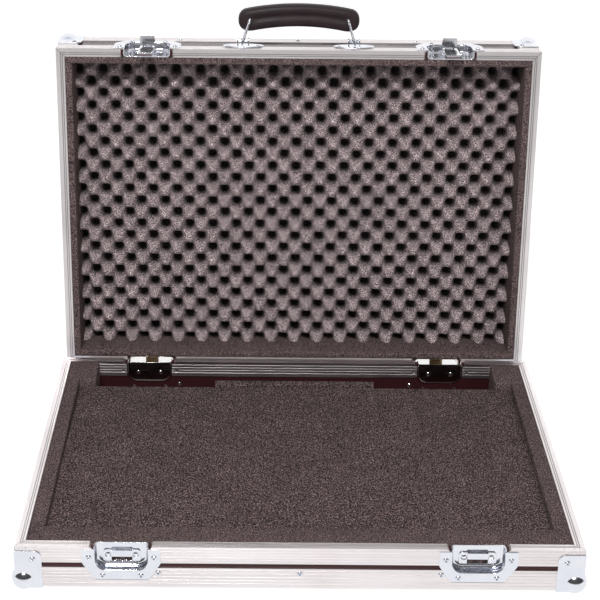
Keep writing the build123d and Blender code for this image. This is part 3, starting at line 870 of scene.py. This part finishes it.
class CASE_OT_base_foam(bpy.types.Operator):
    """Cuts the base's foam strips, corner blocks, pad and trench block"""

    bl_idname = "case.base_foam"
    bl_label = "Base foam"

    def execute(self, context):
        radius = sizes().foam_round
        outer_x, outer_y = HALF_WIDTH - PROFILE, HALF_DEPTH - PROFILE
        side_x, front_y = 273.0 * MM, -172.0 * MM
        block_x, block_y = 252.5 * MM, 150.0 * MM
        top = CLOSE_Z - STRIP_GAP
        bm = bmesh.new()
        foam_block(bm, (-outer_x, -outer_y, PANEL_TOP), (outer_x, front_y, top), radius)
        for sign in (-1, 1):
            a, b = sorted((sign * side_x, sign * outer_x))
            foam_block(bm, (a, front_y, PANEL_TOP), (b, block_y, top), radius)
            a, b = sorted((sign * block_x, sign * outer_x))
            foam_block(bm, (a, block_y, PANEL_TOP), (b, outer_y, top), radius)
        strips = finish_piece(
            bm, "base_foam_strips", "base", strip_foam(), "base_foam_frame", 50.0
        )
        bm = bmesh.new()
        low = Vector((-side_x, front_y, PANEL_TOP))
        high = Vector((side_x, block_y, CLOSE_Z - 8.7 * MM))
        foam_block(bm, low, high, radius)
        pad = finish_piece(bm, "base_pad", "base", foam(), "base_foam_pad", 50.0)
        bm = bmesh.new()
        foam_block(
            bm,
            (-103 * MM, outer_y - 12 * MM, PANEL_TOP),
            (103 * MM, outer_y, CLOSE_Z - 26 * MM),
            radius,
        )
        block = finish_piece(bm, "trench_block", "base", foam(), "trench_foam", 50.0)
        return {"FINISHED"}


class CASE_OT_grip(bpy.types.Operator):
    """Shapes the arched leather grip, in place of the CAD grip"""

    bl_idname = "case.grip"
    bl_label = "Grip"

    def execute(self, context):
        rings = sizes().grip_rings
        reach, end = 61.0 * MM, 14.0 * MM
        arch = 6.0 * MM
        half_thick, half_wide = 14.0 * MM, 10.5 * MM
        corner, tip = 3.2, 2.3
        bm = bmesh.new()
        ring = bmesh.ops.create_circle(bm, segments=40, radius=1.0, cap_ends=False)["verts"]
        profile = [vert.co.copy() for vert in ring]
        edges = list(bm.edges)
        rows = [list(ring)]
        for _ in range(rings - 1):
            made = bmesh.ops.extrude_edge_only(bm, edges=edges)["geom"]
            edges = [
                item for item in made if isinstance(item, bmesh.types.BMEdge) and item.is_boundary
            ]
            rows.append([item for item in made if isinstance(item, bmesh.types.BMVert)])
        centre = Vector((0.0, -HALF_DEPTH, CLOSE_Z + HANDLE_UP))
        for index, row in enumerate(rows):
            angle = math.pi * index / (rings - 1)
            station = -(reach + end) * math.cos(angle)
            past = max(abs(station) - reach, 0.0)
            shrink = max(1.0 - (past / end) ** tip, 0.0004) ** (1 / tip)
            lift = 40.0 * MM - arch * (min(abs(station), reach) / reach) ** 2
            slope = -2 * arch * station / reach ** 2 if past == 0.0 else 0.0
            in_channel = min(max((reach + 4 * MM - abs(station)) / (12 * MM), 0.0), 1.0)
            for vert, shape in zip(row, profile):
                across, up = shape.x, shape.y
                square = (abs(across) ** corner + abs(up) ** corner) ** (-1 / corner)
                across, up = across * square, up * square
                pinch = 1.0 - 0.3 * math.exp(-((up - 0.02) / 0.24) ** 2) * in_channel
                height = half_thick * up * shrink
                vert.co = centre + Vector((
                    station - height * slope,
                    -(lift + height),
                    half_wide * across * pinch * shrink ** 0.6,
                ))
        bmesh.ops.holes_fill(bm, edges=[e for e in bm.edges if e.is_boundary], sides=0)
        bmesh.ops.recalc_face_normals(bm, faces=bm.faces)
        bmesh.ops.transform(bm, matrix=OPENED, verts=bm.verts)
        finish_piece(bm, "leather_grip", "handle", leather(), "handle_grip", 70.0)
        return {"FINISHED"}


class CASE_OT_stage(bpy.types.Operator):
    """Sets the floor, the lights, the world and the photograph's camera"""

    bl_idname = "case.stage"
    bl_label = "Stage"

    def execute(self, context):
        scene = context.scene
        scene.view_settings.view_transform = "Standard"
        floor_mesh = bpy.data.meshes.new("floor")
        bm = bmesh.new()
        bmesh.ops.create_grid(bm, x_segments=1, y_segments=1, size=6.0)
        bmesh.ops.translate(bm, vec=(0.0, 0.0, CAD_BOX[0].z - 0.0002), verts=bm.verts)
        bm.to_mesh(floor_mesh)
        bm.free()
        floor = bpy.data.objects.new("floor", floor_mesh)
        scene.collection.objects.link(floor)
        give(floor, self.floor_material())
        self.world(scene)
        for name, place, size, power in (
            ("key", (-0.3, -1.7, 2.4), (0.8, 0.4), 64.0),
            ("fill", (1.7, -1.4, 1.4), (1.0, 1.0), 10.0),
            ("front", (0.1, -2.6, 0.7), (1.0, 1.0), 8.0),
        ):
            self.lamp(scene, name, Vector(place), size, power)
        self.camera(scene)
        return {"FINISHED"}

    def floor_material(self):
        """White with a soft shadow to the camera, and a little greyer in the metal."""
        material = bpy.data.materials.new("floor")
        material.use_nodes = True
        tree = material.node_tree
        shader = tree.nodes["Principled BSDF"]
        for key, value in (
            ("Base Color", (0.93, 0.93, 0.93, 1.0)),
            ("Roughness", 0.9),
            ("Specular IOR Level", 0.1),
        ):
            shader.inputs[key].default_value = value
        path = tree.nodes.new("ShaderNodeLightPath")
        lift = node(
            tree,
            "ShaderNodeEmission",
            links={"Strength": math_node(tree, "MULTIPLY", path.outputs["Is Camera Ray"], 0.55)},
        )
        seen = node(tree, "ShaderNodeAddShader", links={0: shader.outputs[0], 1: lift.outputs[0]})
        place = tree.nodes.new("ShaderNodeTexCoord").outputs["Object"]
        away = node(tree, "ShaderNodeVectorMath", operation="LENGTH", links={0: place})
        mirrored = node(
            tree,
            "ShaderNodeEmission",
            links={"Strength": ramp(tree, away.outputs["Value"], 0.5, 3.0, 0.98, 0.88)},
        )
        both = node(
            tree,
            "ShaderNodeMixShader",
            links={0: path.outputs["Is Glossy Ray"], 1: seen.outputs[0], 2: mirrored.outputs[0]},
        )
        tree.links.new(both.outputs[0], tree.nodes["Material Output"].inputs["Surface"])
        return material

    def world(self, scene):
        """White to the camera, plain on the object, and in the metal a room dark in front."""
        world = scene.world or bpy.data.worlds.new("world")
        scene.world = world
        world.use_nodes = True
        tree = world.node_tree
        tree.nodes.clear()
        path = tree.nodes.new("ShaderNodeLightPath")
        direction = tree.nodes.new("ShaderNodeTexCoord").outputs["Generated"]
        axis = node(tree, "ShaderNodeSeparateXYZ", links={0: direction}).outputs
        room = ramp(tree, axis["Y"], -0.25, 0.1, 0.06, 1.06)
        on_object = node(
            tree,
            "ShaderNodeMix",
            data_type="FLOAT",
            links={0: path.outputs["Is Glossy Ray"], 3: room},
            values={2: 0.33},
        ).outputs[0]
        seen = math_node(
            tree, "MAXIMUM", path.outputs["Is Camera Ray"], path.outputs["Is Transmission Ray"]
        )
        back = node(
            tree,
            "ShaderNodeBackground",
            links={"Strength": math_node(tree, "MAXIMUM", on_object, seen)},
            values={"Color": (1.0, 1.0, 1.0, 1.0)},
        )
        output = tree.nodes.new("ShaderNodeOutputWorld")
        tree.links.new(back.outputs[0], output.inputs["Surface"])

    def lamp(self, scene, name, place, size, power):
        """An area lamp aimed at the case; only the key lamp shows in reflections."""
        data = bpy.data.lights.new(name, "AREA")
        data.shape = "RECTANGLE"
        data.size, data.size_y = size
        data.energy = power
        lamp = bpy.data.objects.new(name, data)
        lamp.location = place
        aim = Vector((0.0, 0.05, 0.15)) - place
        lamp.rotation_euler = aim.to_track_quat("-Z", "Y").to_euler()
        lamp.visible_glossy = name == "key"
        scene.collection.objects.link(lamp)

    def camera(self, scene):
        """The photograph's camera, from a fit to the corners of both halves."""
        side, sensor = 600.0, 36.0
        focal, centre_u, centre_v = 1524.0, 267.0, 259.3
        pitch, yaw, roll = 0.4247, -0.001, 0.0089
        shift, distance, rise = -38.8, 1690.8, 237.0
        place = Vector((shift, -distance * math.cos(pitch), distance * math.sin(pitch) + rise))
        place = place * MM + Vector((0.0, 0.0, CLOSE_Z))
        right = Vector((math.cos(yaw), math.sin(yaw), 0.0))
        level = Vector((-math.sin(yaw), math.cos(yaw), 0.0))
        ahead = level * math.cos(pitch) - Vector((0.0, 0.0, math.sin(pitch)))
        up = level * math.sin(pitch) + Vector((0.0, 0.0, math.cos(pitch)))
        turned_right = right * math.cos(roll) + up * math.sin(roll)
        turned_up = up * math.cos(roll) - right * math.sin(roll)
        data = bpy.data.cameras.new("camera")
        data.sensor_width = sensor
        data.lens = focal / side * sensor
        data.shift_x = 0.5 - centre_u / side
        data.shift_y = centre_v / side - 0.5
        data.clip_start, data.clip_end = 0.05, 50.0
        camera = bpy.data.objects.new("camera", data)
        turn = Matrix((turned_right, turned_up, -ahead)).transposed()
        camera.matrix_world = Matrix.Translation(place) @ turn.to_4x4()
        scene.collection.objects.link(camera)
        scene.camera = camera


OPERATORS = (
    CASE_OT_extrusions,
    CASE_OT_boards,
    CASE_OT_fittings,
    CASE_OT_crate_foam,
    CASE_OT_lid_foam,
    CASE_OT_base_foam,
    CASE_OT_grip,
    CASE_OT_stage,
)


class CASE_PT_panel(bpy.types.Panel):
    """Lists the case's pieces, sizes and colours"""

    bl_idname = "CASE_PT_panel"
    bl_label = "Flight case"
    bl_space_type = "VIEW_3D"
    bl_region_type = "UI"
    bl_category = "Flight case"

    def draw(self, context):
        for group in (context.scene.case_sizes, context.scene.case_colours):
            for name in group.bl_rna.properties.keys():
                if name not in ("rna_type", "name"):
                    self.layout.prop(group, name)
        for operator in OPERATORS:
            self.layout.operator(operator.bl_idname)


CLASSES = (CaseSizes, CaseColours, *OPERATORS, CASE_PT_panel)


def register():
    for cls in CLASSES:
        bpy.utils.register_class(cls)
    bpy.types.Scene.case_sizes = PointerProperty(type=CaseSizes)
    bpy.types.Scene.case_colours = PointerProperty(type=CaseColours)


def unregister():
    del bpy.types.Scene.case_colours
    del bpy.types.Scene.case_sizes
    for cls in reversed(CLASSES):
        bpy.utils.unregister_class(cls)


def main():
    register()
    bpy.ops.case.extrusions()
    bpy.ops.case.boards()
    bpy.ops.case.fittings()
    bpy.ops.case.crate_foam()
    bpy.ops.case.lid_foam()
    bpy.ops.case.base_foam()
    bpy.ops.case.grip()
    bpy.ops.case.stage()


if __name__ == "__main__":
    main()
